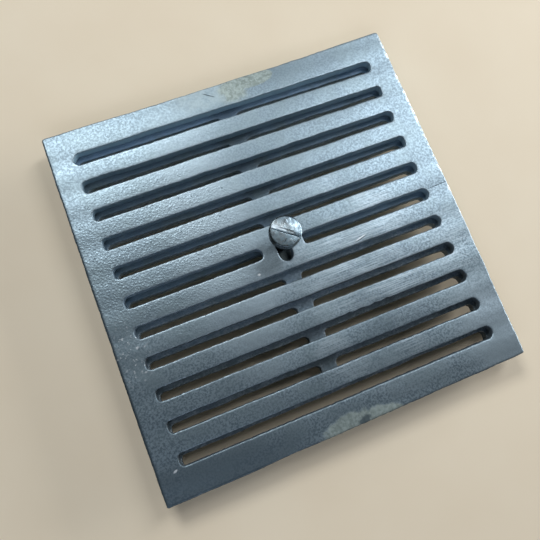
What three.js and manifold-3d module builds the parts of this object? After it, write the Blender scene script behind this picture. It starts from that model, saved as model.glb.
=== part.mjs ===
// Square cast-iron ventilator: a slotted front plate, a slotted slider behind it, and a knob screw
// that pushes the slider up to open the rows and down to close them.
// Millimetres, +Z out of the front face, +Y towards the top edge.
// The origin is the middle of the plane on the front plate's back, which beds on the wall.
import * as THREE from 'three';
import { mergeVertices } from 'three/addons/utils/BufferGeometryUtils.js';
import Module from 'manifold-3d';

const wasm = await Module();
wasm.setup();

// Front plate, a 9 inch square casting
const PLATE_SIDE = 229;
const PLATE_THICKNESS = 6;
const PLATE_CORNER_RADIUS = 1.5;
const ROWS = 11;
const SIDE_MARGIN = 14.2; // from a side edge to the ends of the rows
const END_MARGIN = 16.8; // from the top or bottom edge to the nearest row
const SLOT_WIDTH = 7.8;
const SPLIT_GAP = 26.5; // metal left in the middle row for the knob

// How far the casting's corners lie from a true square, right and up where positive
const BOTTOM_LEFT_SHIFT = [0, -0.8];
const BOTTOM_RIGHT_SHIFT = [-1, 1];
const TOP_RIGHT_SHIFT = [0, 0.8];
const TOP_LEFT_SHIFT = [0.2, -0.8];

// The sides of the casting are a little bowed, outwards where positive
const TOP_BOW = -1.2;
const BOTTOM_BOW = 0.2;
const LEFT_BOW = 0.4;
const RIGHT_BOW = 0.7;

// Corner radii of each row's two ends, top row first: the mould was rammed by hand
const LEFT_END_RADII = [3.2, 2.4, 3.0, 2.2, 3.0, 3.4, 3.0, 3.2, 2.8, 3.0, 2.8];
const RIGHT_END_RADII = [3.4, 2.2, 3.0, 2.2, 3.2, 3.7, 3.7, 3.7, 3.7, 3.7, 3.7];
const SPLIT_LEFT_RADIUS = 3.7;
const SPLIT_RIGHT_RADIUS = 2.4;

// Knob screw
const HEAD_DIAMETER = 19;
const HEAD_THICKNESS = 5.6;
const HEAD_ROUNDING = 0.9;
const HEAD_DOME = 0.5; // rise of the top face above its rounded rim
const HEAD_STANDOFF = 20.2; // from the front face to the underside of the head
const DRIVER_SLOT_WIDTH = 2.4;
const DRIVER_SLOT_DEPTH = 2.2;
const DRIVER_SLOT_TURN = -38; // degrees from the rows
const SHANK_DIAMETER = 7.6;
const SCREW_END_STANDOUT = 2; // below the slider's back

// Knob slot in the front plate, with long oval ends
const KNOB_SLOT_SIDE_CLEARANCE = 0.6;
const KNOB_SLOT_OVAL = 1.34; // height of an oval end as a share of its half width
const STOP_CLEARANCE = 0.3;

// Slider and its travel
const SLIDER_THICKNESS = 6;
const SLIDER_FACE_GAP = 1;
const SLIDER_SLOT_WIDTH = 7.6;
const SLIDER_SLOT_INSET = 1.3; // each slider row is this much shorter than the front row, per end
const SLIDER_SLOT_RADIUS = 2.8;
const SLIDER_WEB = 10.6;
const BOTTOM_ROW_RISE = 0.8; // the bottom row is one slot, this much taller at its upper side
const SLIDER_CORNER_RADIUS = 2;
const SLIDER_TOP_LAP = 0.8; // past the top row when closed
const SLIDER_BOTTOM_RIM = 4;
const OVERTRAVEL = 0.6; // the slider moves half a pitch and this much more
const OPEN_SHIFT = -0.6; // slider rows against front rows at the open stop
const REST_DROP = 2.6; // from the open stop, as it lies
const REST_SIDE_PLAY = -0.3; // the slider lies this far to one side

// Bosses cast on the back of the front plate, with a clip on each that holds the slider in
const BOSS_DIAMETER = 7.6;
const BOSS_EDGE = 1.4; // from the boss to the side of the plate
const BOSS_FROM_END = 22; // from the boss centre to the top or bottom edge
const BOSS_ROOT = 1; // overlap that makes the boss one with the plate
const SLIDER_SIDE_CLEARANCE = 0.8;
const SLIDER_BACK_CLEARANCE = 0.5;
const CLIP_THICKNESS = 1.5;
const CLIP_WIDTH = 12;
const CLIP_OVERLAP = 3.6; // over the slider's edge
const CLIP_CHAMFER = 1.5;
const CLIP_SEAT_GAP = 0.1;
const CLIP_SCREW_DIAMETER = 4;
const CLIP_SCREW_HEAD_DIAMETER = 7.4;
const CLIP_SCREW_HEAD_HEIGHT = 2.6;
const CLIP_SCREW_HEAD_ROUNDING = 1.4;
const CLIP_SCREW_SLOT_WIDTH = 1;
const CLIP_SCREW_SLOT_DEPTH = 1.1;
const CLIP_SCREW_LENGTH = 8;
const THREAD_CLEARANCE = 0.3;
const HOLE_END_CLEARANCE = 0.5;

// Fineness of the round shapes
const SHANK_SIDES = 32;
const HEAD_SIDES = 48;
const SMALL_SIDES = 20;
const ARC_STEPS = 3;
const OVAL_STEPS = 8;
const BOW_STEPS = 5;
const CUT_MARGIN = 1; // a cutter runs this far past what it cuts

// Derived places
const HALF_PLATE = PLATE_SIDE / 2;
const SLOT_LENGTH = PLATE_SIDE - 2 * SIDE_MARGIN;
const ROW_PITCH = (PLATE_SIDE - 2 * END_MARGIN - SLOT_WIDTH) / (ROWS - 1);
const TOP_ROW = (ROW_PITCH * (ROWS - 1)) / 2;
const MIDDLE_ROW = (ROWS - 1) / 2;
const FRONT_Z = PLATE_THICKNESS;
const TRAVEL = ROW_PITCH / 2 + OVERTRAVEL;
const REST_SHIFT = OPEN_SHIFT - REST_DROP;
const KNOB_REST_Y = TRAVEL / 2 - REST_DROP;
const KNOB_IN_SLIDER_Y = KNOB_REST_Y - REST_SHIFT;
const SLIDER_TOP_Z = -SLIDER_FACE_GAP;
const SLIDER_BACK_Z = SLIDER_TOP_Z - SLIDER_THICKNESS;
const BOSS_X = HALF_PLATE - BOSS_EDGE - BOSS_DIAMETER / 2;
const BOSS_Y = HALF_PLATE - BOSS_FROM_END;
const BOSS_BACK_Z = SLIDER_BACK_Z - SLIDER_BACK_CLEARANCE;
const SLIDER_HALF_WIDTH = BOSS_X - BOSS_DIAMETER / 2 - SLIDER_SIDE_CLEARANCE;
const CLIP_FRONT_Z = BOSS_BACK_Z - CLIP_SEAT_GAP;
const CLIP_BACK_Z = CLIP_FRONT_Z - CLIP_THICKNESS;

const CAST_IRON = { color: 0x8f9da3, metalness: 0.85, roughness: 0.55 };
const DARK_IRON = { color: 0x59666b, metalness: 0.8, roughness: 0.65 };
const BRIGHT_STEEL = { color: 0xaab8bd, metalness: 1, roughness: 0.35 };
const PLAIN_STEEL = { color: 0x7d888c, metalness: 1, roughness: 0.5 };

// A closed geometry becomes a solid that can be cut and joined.
function toSolid(geometry) {
  const bare = geometry.clone();
  bare.deleteAttribute('normal');
  bare.deleteAttribute('uv');
  const merged = mergeVertices(bare, 1e-4);
  return new wasm.Manifold(new wasm.Mesh({
    numProp: 3,
    vertProperties: new Float32Array(merged.attributes.position.array),
    triVerts: new Uint32Array(merged.index.array),
  }));
}

function toGeometry(solid) {
  const mesh = solid.getMesh();
  const geometry = new THREE.BufferGeometry();
  geometry.setAttribute('position', new THREE.BufferAttribute(mesh.vertProperties, 3));
  geometry.setIndex(new THREE.BufferAttribute(mesh.triVerts, 1));
  geometry.computeVertexNormals();
  return geometry;
}

function cut(geometry, cutters) {
  return cutters.reduce((solid, cutter) => solid.subtract(toSolid(cutter)), toSolid(geometry));
}

// A flat outline, pulled up from bottomZ to topZ.
function slab(shape, bottomZ, topZ) {
  const geometry = new THREE.ExtrudeGeometry(shape, { depth: topZ - bottomZ, bevelEnabled: false });
  geometry.translate(0, 0, bottomZ);
  return geometry;
}

// A profile of [radius, z] points turned about a vertical axis at x, y.
function turned(profile, sides, x, y) {
  const points = profile.map(([radius, z]) => new THREE.Vector2(radius, z));
  const geometry = new THREE.LatheGeometry(points, sides);
  geometry.rotateX(Math.PI / 2);
  geometry.translate(x, y, 0);
  return geometry;
}

function rod(radius, bottomZ, topZ, sides, x, y) {
  return turned([[0, bottomZ], [radius, bottomZ], [radius, topZ], [0, topZ]], sides, x, y);
}

// Points of a quarter circle about (x, y), from one angle to the next.
function quarter(x, y, radius, fromDegrees, steps = ARC_STEPS) {
  return Array.from({ length: steps + 1 }, (_, i) => {
    const angle = THREE.MathUtils.degToRad(fromDegrees + (90 * i) / steps);
    return new THREE.Vector2(x + radius * Math.cos(angle), y + radius * Math.sin(angle));
  });
}

// A lying slot with one corner radius at its left end and another at its right end.
function slotOutline(left, right, y, width, leftRadius, rightRadius) {
  const half = width / 2;
  const a = Math.min(leftRadius, half - 0.1);
  const b = Math.min(rightRadius, half - 0.1);
  return [
    ...quarter(left + a, y - half + a, a, 180),
    ...quarter(right - b, y - half + b, b, 270),
    ...quarter(right - b, y + half - b, b, 0),
    ...quarter(left + a, y + half - a, a, 90),
  ];
}

// Points along a side from one corner to the next, bowed by a parabola that is zero at the corners.
function bowedSide(start, end, bow) {
  const along = end.clone().sub(start);
  const outward = new THREE.Vector2(along.y, -along.x).normalize();
  return Array.from({ length: BOW_STEPS - 1 }, (_, i) => {
    const share = (i + 1) / BOW_STEPS;
    const lift = 4 * bow * share * (1 - share);
    return start.clone().addScaledVector(along, share).addScaledVector(outward, lift);
  });
}

// The plate's outline, anticlockwise from the bottom left corner.
function plateOutline() {
  const r = PLATE_CORNER_RADIUS;
  const inner = HALF_PLATE - r;
  const corner = (sideX, sideY, shift, fromDegrees) =>
    quarter(sideX * inner + shift[0], sideY * inner + shift[1], r, fromDegrees);
  const bottomLeft = corner(-1, -1, BOTTOM_LEFT_SHIFT, 180);
  const bottomRight = corner(1, -1, BOTTOM_RIGHT_SHIFT, 270);
  const topRight = corner(1, 1, TOP_RIGHT_SHIFT, 0);
  const topLeft = corner(-1, 1, TOP_LEFT_SHIFT, 90);
  return [
    ...bottomLeft,
    ...bowedSide(bottomLeft.at(-1), bottomRight[0], BOTTOM_BOW),
    ...bottomRight,
    ...bowedSide(bottomRight.at(-1), topRight[0], RIGHT_BOW),
    ...topRight,
    ...bowedSide(topRight.at(-1), topLeft[0], TOP_BOW),
    ...topLeft,
    ...bowedSide(topLeft.at(-1), bottomLeft[0], LEFT_BOW),
  ];
}

// The upright knob slot: straight sides, and oval ends that the shank stops in.
function knobSlotOutline() {
  const half = SHANK_DIAMETER / 2 + KNOB_SLOT_SIDE_CLEARANCE;
  const tall = half * KNOB_SLOT_OVAL;
  const spread = tall * tall - half * half;
  const radius = SHANK_DIAMETER / 2 + Math.abs(REST_SIDE_PLAY);
  // A circle of this radius on the oval's long axis touches it this far from the oval's centre.
  const contact = Math.sqrt(spread * (1 - (radius * radius) / (half * half)));
  const centre = TRAVEL / 2 + STOP_CLEARANCE - contact;
  const end = (sign) => Array.from({ length: OVAL_STEPS * 2 + 1 }, (_, i) => {
    const angle = (Math.PI * i) / (OVAL_STEPS * 2);
    return new THREE.Vector2(
      sign * half * Math.cos(angle),
      sign * (centre + tall * Math.sin(angle)),
    );
  });
  return [...end(1), ...end(-1)];
}

// Front rows as [left, right, y, leftRadius, rightRadius]. The middle row is in two halves.
function frontRows() {
  const end = SLOT_LENGTH / 2;
  return Array.from({ length: ROWS }, (_, i) => {
    const y = TOP_ROW - i * ROW_PITCH;
    const left = LEFT_END_RADII[i % LEFT_END_RADII.length];
    const right = RIGHT_END_RADII[i % RIGHT_END_RADII.length];
    if (i !== Math.round(MIDDLE_ROW)) {
      return [[-end, end, y, left, right]];
    }
    return [
      [-end, -SPLIT_GAP / 2, y, left, SPLIT_LEFT_RADIUS],
      [SPLIT_GAP / 2, end, y, SPLIT_RIGHT_RADIUS, right],
    ];
  }).flat();
}

const BOSSES = [
  ['top_left', -1, 1],
  ['top_right', 1, 1],
  ['bottom_right', 1, -1],
  ['bottom_left', -1, -1],
];

function frontPlate() {
  const shape = new THREE.Shape(plateOutline());
  shape.holes = frontRows().map(([left, right, y, leftRadius, rightRadius]) =>
    new THREE.Path(slotOutline(left, right, y, SLOT_WIDTH, leftRadius, rightRadius)));
  shape.holes.push(new THREE.Path(knobSlotOutline()));
  let solid = toSolid(slab(shape, 0, FRONT_Z));
  const holeRadius = CLIP_SCREW_DIAMETER / 2 + THREAD_CLEARANCE;
  const holeTop = CLIP_BACK_Z + CLIP_SCREW_LENGTH + HOLE_END_CLEARANCE;
  for (const [, sideX, sideY] of BOSSES) {
    const x = sideX * BOSS_X;
    const y = sideY * BOSS_Y;
    const boss = rod(BOSS_DIAMETER / 2, BOSS_BACK_Z, BOSS_ROOT, SMALL_SIDES, x, y);
    const hole = rod(holeRadius, BOSS_BACK_Z - CUT_MARGIN, holeTop, SMALL_SIDES, x, y);
    solid = solid.add(toSolid(boss)).subtract(toSolid(hole));
  }
  return toGeometry(solid);
}

// The slider: a web that carries the knob screw parts each row in two, except the bottom one.
function sliderPlate() {
  const top = TOP_ROW + SLOT_WIDTH / 2 + TRAVEL - OPEN_SHIFT + SLIDER_TOP_LAP;
  const bottom = -TOP_ROW - SLIDER_SLOT_WIDTH / 2 - SLIDER_BOTTOM_RIM;
  const r = SLIDER_CORNER_RADIUS;
  const side = SLIDER_HALF_WIDTH;
  const shape = new THREE.Shape([
    ...quarter(-side + r, bottom + r, r, 180),
    ...quarter(side - r, bottom + r, r, 270),
    ...quarter(side - r, top - r, r, 0),
    ...quarter(-side + r, top - r, r, 90),
  ]);
  const reach = SLOT_LENGTH / 2 - SLIDER_SLOT_INSET;
  for (let i = 0; i < ROWS; i += 1) {
    const parted = i < ROWS - 1;
    const rise = parted ? 0 : BOTTOM_ROW_RISE;
    const y = TOP_ROW - i * ROW_PITCH + rise / 2;
    const width = SLIDER_SLOT_WIDTH + rise;
    const ends = parted ? [[-reach, -SLIDER_WEB / 2], [SLIDER_WEB / 2, reach]] : [[-reach, reach]];
    for (const [left, right] of ends) {
      const outline = slotOutline(left, right, y, width, SLIDER_SLOT_RADIUS, SLIDER_SLOT_RADIUS);
      shape.holes.push(new THREE.Path(outline));
    }
  }
  const plate = slab(shape, SLIDER_BACK_Z, SLIDER_TOP_Z);
  const hole = rod(
    SHANK_DIAMETER / 2 + THREAD_CLEARANCE,
    SLIDER_BACK_Z - CUT_MARGIN,
    SLIDER_TOP_Z + CUT_MARGIN,
    SHANK_SIDES,
    0,
    KNOB_IN_SLIDER_Y,
  );
  return toGeometry(cut(plate, [hole]));
}

// The knob screw: a cheese head with a driver slot on a plain shank, about its own axis.
function knobScrew() {
  const underside = FRONT_Z + HEAD_STANDOFF;
  const rim = underside + HEAD_THICKNESS;
  const radius = HEAD_DIAMETER / 2;
  const rounding = Array.from({ length: ARC_STEPS + 1 }, (_, i) => {
    const angle = (Math.PI / 2) * (i / ARC_STEPS);
    return [
      radius - HEAD_ROUNDING * (1 - Math.cos(angle)),
      rim - HEAD_DOME - HEAD_ROUNDING * (1 - Math.sin(angle)),
    ];
  });
  const profile = [
    [0, SLIDER_BACK_Z - SCREW_END_STANDOUT],
    [SHANK_DIAMETER / 2, SLIDER_BACK_Z - SCREW_END_STANDOUT],
    [SHANK_DIAMETER / 2, underside],
    [radius - HEAD_ROUNDING / 2, underside],
    [radius, underside + HEAD_ROUNDING / 2],
    ...rounding,
    [radius / 2, rim - HEAD_DOME / 4],
    [0, rim],
  ];
  const driverSlot = new THREE.BoxGeometry(
    HEAD_DIAMETER + 2 * CUT_MARGIN,
    DRIVER_SLOT_WIDTH,
    DRIVER_SLOT_DEPTH + CUT_MARGIN,
  );
  driverSlot.translate(0, 0, rim - DRIVER_SLOT_DEPTH + (DRIVER_SLOT_DEPTH + CUT_MARGIN) / 2);
  driverSlot.rotateZ(THREE.MathUtils.degToRad(DRIVER_SLOT_TURN));
  return toGeometry(cut(turned(profile, HEAD_SIDES, 0, 0), [driverSlot]));
}

// A small steel plate on a boss, whose inner end laps over the slider's edge.
function clip(sideX, sideY) {
  const centreX = sideX * BOSS_X;
  const outer = BOSS_DIAMETER / 2;
  const inner = BOSS_DIAMETER / 2 + SLIDER_SIDE_CLEARANCE + CLIP_OVERLAP;
  const half = CLIP_WIDTH / 2;
  const c = CLIP_CHAMFER;
  const points = [
    [-outer, -half + c],
    [-outer + c, -half],
    [inner - c, -half],
    [inner, -half + c],
    [inner, half - c],
    [inner - c, half],
    [-outer + c, half],
    [-outer, half - c],
  ].map(([x, y]) => new THREE.Vector2(centreX - sideX * x, sideY * BOSS_Y + y));
  const plate = slab(new THREE.Shape(points), CLIP_BACK_Z, CLIP_FRONT_Z);
  const holeRadius = CLIP_SCREW_DIAMETER / 2 + THREAD_CLEARANCE;
  const hole = rod(
    holeRadius,
    CLIP_BACK_Z - CUT_MARGIN,
    CLIP_FRONT_Z + CUT_MARGIN,
    SMALL_SIDES,
    centreX,
    sideY * BOSS_Y,
  );
  return toGeometry(cut(plate, [hole]));
}

// A round-head screw that holds a clip, its head towards the back.
function clipScrew(sideX, sideY) {
  const seat = CLIP_BACK_Z - CLIP_SEAT_GAP;
  const crown = seat - CLIP_SCREW_HEAD_HEIGHT;
  const radius = CLIP_SCREW_HEAD_DIAMETER / 2;
  const rounding = Array.from({ length: ARC_STEPS + 1 }, (_, i) => {
    const angle = (Math.PI / 2) * (i / ARC_STEPS);
    return [
      radius - CLIP_SCREW_HEAD_ROUNDING * (1 - Math.sin(angle)),
      crown + CLIP_SCREW_HEAD_ROUNDING * (1 - Math.cos(angle)),
    ];
  });
  const profile = [
    [0, crown],
    ...rounding,
    [radius, seat],
    [CLIP_SCREW_DIAMETER / 2, seat],
    [CLIP_SCREW_DIAMETER / 2, seat + CLIP_SCREW_LENGTH],
    [0, seat + CLIP_SCREW_LENGTH],
  ];
  const x = sideX * BOSS_X;
  const y = sideY * BOSS_Y;
  const driverSlot = new THREE.BoxGeometry(
    CLIP_SCREW_HEAD_DIAMETER + 2 * CUT_MARGIN,
    CLIP_SCREW_SLOT_WIDTH,
    CLIP_SCREW_SLOT_DEPTH + CUT_MARGIN,
  );
  driverSlot.rotateZ(THREE.MathUtils.degToRad(DRIVER_SLOT_TURN * sideX * sideY));
  driverSlot.translate(x, y, crown + CLIP_SCREW_SLOT_DEPTH - (CLIP_SCREW_SLOT_DEPTH + CUT_MARGIN) / 2);
  return toGeometry(cut(turned(profile, SMALL_SIDES, x, y), [driverSlot]));
}

function part(name, geometry, finish) {
  const mesh = new THREE.Mesh(geometry, new THREE.MeshStandardMaterial({ ...finish, flatShading: true }));
  mesh.name = name;
  return mesh;
}

const group = new THREE.Group();
group.add(part('front_plate', frontPlate(), CAST_IRON));

// The slider and its knob screw move together.
const slider = new THREE.Group();
slider.position.set(REST_SIDE_PLAY, 0, 0);
const sliderMesh = part('slider_plate', sliderPlate(), DARK_IRON);
sliderMesh.position.y = REST_SHIFT;
const knobMesh = part('knob_screw', knobScrew(), BRIGHT_STEEL);
knobMesh.position.y = KNOB_REST_Y;
slider.add(sliderMesh, knobMesh);
group.add(slider);

for (const [corner, sideX, sideY] of BOSSES) {
  group.add(part(`clip_${corner}`, clip(sideX, sideY), PLAIN_STEEL));
  group.add(part(`clip_screw_${corner}`, clipScrew(sideX, sideY), PLAIN_STEEL));
}

export default group;
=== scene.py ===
# %% [markdown]
# # A cast-iron ventilator with a sliding shutter
#
# The object is a nine inch square of grey cast iron. Eleven rows of slots let air through, and a
# second slotted plate slides behind them: rows over rows is open, bars over rows is shut. A big
# slotted screw in the middle is the knob. We load the measured model first, because it says where
# every piece sits, and then give each piece a finer surface and a finish.

import math

import bmesh
import bpy
import numpy as np
from mathutils import Matrix, Vector
from mathutils.geometry import delaunay_2d_cdt


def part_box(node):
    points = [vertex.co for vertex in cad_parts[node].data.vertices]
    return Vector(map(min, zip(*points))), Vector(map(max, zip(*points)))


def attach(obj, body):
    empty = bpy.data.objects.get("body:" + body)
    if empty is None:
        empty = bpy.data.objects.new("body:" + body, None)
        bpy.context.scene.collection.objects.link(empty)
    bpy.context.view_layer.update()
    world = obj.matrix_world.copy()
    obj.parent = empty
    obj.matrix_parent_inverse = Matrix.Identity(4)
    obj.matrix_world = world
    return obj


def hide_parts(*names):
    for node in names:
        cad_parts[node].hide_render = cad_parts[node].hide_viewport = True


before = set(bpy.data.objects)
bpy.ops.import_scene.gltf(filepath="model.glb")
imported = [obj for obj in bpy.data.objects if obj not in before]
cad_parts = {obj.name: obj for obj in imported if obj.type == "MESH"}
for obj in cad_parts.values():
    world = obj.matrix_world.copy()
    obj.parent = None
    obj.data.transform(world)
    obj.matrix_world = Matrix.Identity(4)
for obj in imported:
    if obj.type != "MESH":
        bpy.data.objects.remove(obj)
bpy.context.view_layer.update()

# %% [markdown]
# ## Sizes
#
# All shapes below are worked out in millimetres, as a foundry drawing would be, and turned into
# metres only when a mesh is made. The faces and the pieces' places come from the measured model.
# The rows are restated here: they repeat at one pitch between the two end margins.

# %% Sizes in millimetres
MM = 0.001


def piece_box(node):
    """Lowest and highest corner of a measured node, in millimetres."""
    low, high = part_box(node)
    return np.array(low) / MM, np.array(high) / MM


plate_low, plate_high = piece_box("front_plate")
slider_low, slider_high = piece_box("slider_plate")
knob_low, knob_high = piece_box("knob_screw")

PLATE_SIDE = 229.0
ROWS = 11
SIDE_MARGIN = 14.2
END_MARGIN = 16.8
SLOT_WIDTH = 7.8
SPLIT_GAP = 26.5
FRONT_Z = plate_high[2]
BACK_Z = 0.0
BOSS_BACK_Z = plate_low[2]
HALF_PLATE = PLATE_SIDE / 2
SLOT_END = HALF_PLATE - SIDE_MARGIN
ROW_PITCH = (PLATE_SIDE - 2 * END_MARGIN - SLOT_WIDTH) / (ROWS - 1)
ROW_HEIGHTS = ROW_PITCH * ((ROWS - 1) / 2 - np.arange(ROWS))
print("row pitch", round(ROW_PITCH, 3), "mm")

# %% [markdown]
# ## Uneven surfaces from waves
#
# Sand-cast iron is never quite flat. A cheap way to get bumps that look natural and come out the
# same on every run is to add up many plane waves with random directions and phases. The shortest
# and longest wavelength set the grain.

# %% Random waves


def random_waves(x, y, seed, shortest, longest, count=36):
    """Height at each (x, y): the sum of sin(k . p + phase) over random waves, scaled to unit spread."""
    rng = np.random.default_rng(seed)
    length = np.exp(rng.uniform(math.log(shortest), math.log(longest), count))
    turn = rng.uniform(0, 2 * math.pi, count)
    phase = rng.uniform(0, 2 * math.pi, count)
    wave = 2 * math.pi / length
    angle = np.outer(x, wave * np.cos(turn)) + np.outer(y, wave * np.sin(turn)) + phase
    return np.sin(angle).sum(axis=1) * math.sqrt(2 / count)


# %% [markdown]
# ## Outlines
#
# Each opening is a closed path of evenly spaced points. It starts as a true shape, straight sides
# with a round corner at each end, and is then pushed in and out a little along its normal, the
# way a hand-rammed mould leaves it.

# %% Closed paths
ARC_POINTS = 12  # on a quarter circle
FEWEST_POINTS = 16


def arc(centre, radius, angle):
    """Points on a circle: centre + radius * (cos a, sin a)."""
    return np.array(centre) + radius * np.stack([np.cos(angle), np.sin(angle)], axis=1)


def circle(centre, radius, count):
    return arc(centre, radius, np.linspace(0, 2 * math.pi, count, endpoint=False))


def even_steps(path, spacing):
    """The same closed path with its points at equal distances, found by its running length."""
    closed = np.vstack([path, path[:1]])
    run = np.concatenate([[0], np.cumsum(np.linalg.norm(np.diff(closed, axis=0), axis=1))])
    count = max(FEWEST_POINTS, int(round(run[-1] / spacing)))
    at = np.linspace(0, run[-1], count, endpoint=False)
    return np.stack([np.interp(at, run, line) for line in closed.T], axis=1)


def rounded_box(low, high, radii, spacing):
    """Anticlockwise outline from the lower left corner, with one radius for each corner."""
    (left, bottom), (right, top), (a, b, c, d) = low, high, radii
    corners = (
        (left + a, bottom + a, a, 180), (right - b, bottom + b, b, 270),
        (right - c, top - c, c, 0), (left + d, top - d, d, 90),
    )
    quarter = np.linspace(0, 90, ARC_POINTS)
    path = [arc((x, y), radius, np.radians(start + quarter)) for x, y, radius, start in corners]
    return even_steps(np.concatenate(path), spacing)


def right_normals(path):
    """Unit normals to the right of an anticlockwise path, so away from what it encloses."""
    along = np.roll(path, -1, axis=0) - np.roll(path, 1, axis=0)
    along /= np.linalg.norm(along, axis=1, keepdims=True)
    return np.stack([along[:, 1], -along[:, 0]], axis=1)


def hand_rammed(path, seed, sway=0.14, ripple=0.05):
    """The path moved along its normals by slow waves and by a fine ripple."""
    slow = random_waves(*path.T, seed, 18, 90, 14) * sway
    fine = random_waves(*path.T, seed + 1, 2.5, 8, 24) * ripple
    return path + right_normals(path) * (slow + fine)[:, None]


# %% [markdown]
# ## Plates with openings
#
# The front plate and the slider are made the same way. A short profile, from the flat face over a
# rounded arris, down the wall and round to the back, is carried along every outline. That gives
# each opening its real edge. The flat land between the outlines is filled with a triangulation
# that keeps the outlines, with extra points inside so that it can carry its own gentle relief.

# %% Profile carried along a path


def carry(path, profile, inward, lean=0.0):
    """Grid of points path + normal * offset * (1 - lean * normal_y), one row at each profile height."""
    normal = -right_normals(path) if inward else right_normals(path)
    offset, height = np.array(profile).T
    reach = normal * (1 - lean * normal[:, 1:])
    points = path[None, :, :] + reach[None, :, :] * offset[:, None, None]
    z = np.repeat(height[:, None], len(path), axis=1)
    return np.concatenate([points, z[:, :, None]], axis=2)


def grid_quads(rows, columns, start):
    """Quads between neighbouring rows of a grid whose columns close on themselves."""
    index = start + np.arange(rows * columns).reshape(rows, columns)
    nxt = np.roll(index, -1, axis=1)
    return np.stack([index[:-1], index[1:], nxt[1:], nxt[:-1]], axis=2).reshape(-1, 4)


def edge_profile(top, bottom, top_edge, bottom_edge, levels):
    """Offsets and heights from the front land, over the arris, down the wall and round the back arris."""
    front = [(inset, top - drop) for inset, drop in top_edge]
    wall = [(0.0, top + (bottom - top) * share) for share in levels]
    back = [(inset, bottom + drop) for inset, drop in reversed(bottom_edge)]
    return front + wall + back


# %% Land between the outlines
LATTICE_JITTER = 0.22  # both as shares of the lattice's spacing
LATTICE_CLEARANCE = 0.62
CHUNK = 4000  # points whose distances are worked out at once


def inside(points, loop):
    """True where a point lies in a closed loop, by counting the edges crossed on its right."""
    x, y = points[:, :1], points[:, 1:]
    x0, y0 = loop[:, 0], loop[:, 1]
    x1, y1 = np.roll(x0, -1), np.roll(y0, -1)
    spans = (y0 > y) != (y1 > y)
    rise = np.where(y1 == y0, 1.0, y1 - y0)
    crossing = x0 + (y - y0) * (x1 - x0) / rise
    return (spans & (x < crossing)).sum(axis=1) % 2 == 1


def staggered_points(low, high, spacing, seed):
    """Points of a triangular lattice between two corners, each moved a little at random."""
    rng = np.random.default_rng(seed)
    xs = np.arange(low[0], high[0], spacing)
    ys = np.arange(low[1], high[1], spacing * math.sqrt(3) / 2)
    x, y = np.meshgrid(xs, ys)
    x[1::2] += spacing / 2
    points = np.stack([x.ravel(), y.ravel()], axis=1)
    return points + rng.uniform(-LATTICE_JITTER, LATTICE_JITTER, points.shape) * spacing


def land(loops, spacing, seed):
    """Triangles that fill the region inside the first loop and outside the others, with points within."""
    outer = loops[0]
    lattice = staggered_points(outer.min(axis=0), outer.max(axis=0), spacing, seed)
    # A lattice point is kept where it is clear of every loop by most of the spacing
    keep = inside(lattice, outer)
    for loop in loops:
        near = ((lattice > loop.min(axis=0) - spacing) & (lattice < loop.max(axis=0) + spacing)).all(axis=1)
        candidates = np.flatnonzero(near & keep)
        for chunk in np.array_split(candidates, max(1, len(candidates) // CHUNK)):
            gap = np.linalg.norm(lattice[chunk][:, None, :] - loop[None, :, :], axis=2).min(axis=1)
            drop = gap < LATTICE_CLEARANCE * spacing
            if loop is not outer:
                drop |= inside(lattice[chunk], loop)
            keep[chunk[drop]] = False
    points = np.concatenate(loops + [lattice[keep]])
    edges = []
    owner = np.full(len(points), -1)
    start = 0
    for number, loop in enumerate(loops):
        index = start + np.arange(len(loop))
        edges.append(np.stack([index, np.roll(index, -1)], axis=1))
        owner[index] = number
        start += len(loop)
    edge_list = np.concatenate(edges).tolist()
    result = delaunay_2d_cdt([Vector(p) for p in points.tolist()], edge_list, [], 0, 1e-7, True)
    found = np.array([tuple(v) for v in result[0]])
    source = np.array([origin[0] if origin else -1 for origin in result[3]])
    triangles = np.array(result[2])
    # Only a triangle with all its corners on one loop can lie on the wrong side of that loop
    corner_owner = np.where(source >= 0, owner[source], -1)[triangles]
    centre = found[triangles].mean(axis=1)
    good = np.ones(len(triangles), bool)
    for number, loop in enumerate(loops):
        own = np.flatnonzero((corner_owner == number).all(axis=1))
        within = inside(centre[own], loop)
        good[own] = within if number == 0 else ~within
    return found, triangles[good]


# %% A mesh from arrays


def mesh_piece(name, vertices, faces, attributes=None, weld=2e-6):
    """An object from points in millimetres; doubles are welded and its faces turned outwards."""
    mesh = bpy.data.meshes.new(name)
    mesh.from_pydata((np.asarray(vertices) * MM).tolist(), [], faces)
    for label, values in (attributes or {}).items():
        layer = mesh.attributes.new(label, "FLOAT", "POINT")
        layer.data.foreach_set("value", np.asarray(values, np.float32))
    work = bmesh.new()
    work.from_mesh(mesh)
    bmesh.ops.remove_doubles(work, verts=work.verts, dist=weld)
    bmesh.ops.dissolve_degenerate(work, edges=work.edges, dist=weld / 2)
    bmesh.ops.recalc_face_normals(work, faces=work.faces)
    open_edges = sum(not edge.is_manifold for edge in work.edges)
    work.to_mesh(mesh)
    work.free()
    mesh.shade_smooth()
    piece = bpy.data.objects.new(name, mesh)
    bpy.context.scene.collection.objects.link(piece)
    mesh.calc_loop_triangles()
    print(name, len(mesh.loop_triangles), "triangles,", open_edges, "open edges")
    return piece


# %% Slotted plate
# The belt ran down the plate, so the lower arris of every opening is wider than the upper one
BELT_LEAN = 0.4
# Millimetres below the face: how deep its relief fades out, where the wall's roughness starts and
# grows in over the same depth, and where the arris is and how far it reaches up and down
RELIEF_DEPTH = 0.8
WALL_START = 0.3
ARRIS_DEPTH = 0.22
ARRIS_REACH = 0.35
# The wall's bumps: shortest and longest wave, and how much height is mixed into x and y, so that
# they change down the wall too
WALL_WAVES = (1.6, 6)
WALL_MIX_X, WALL_MIX_Y = 1.7, -1.3


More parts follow.
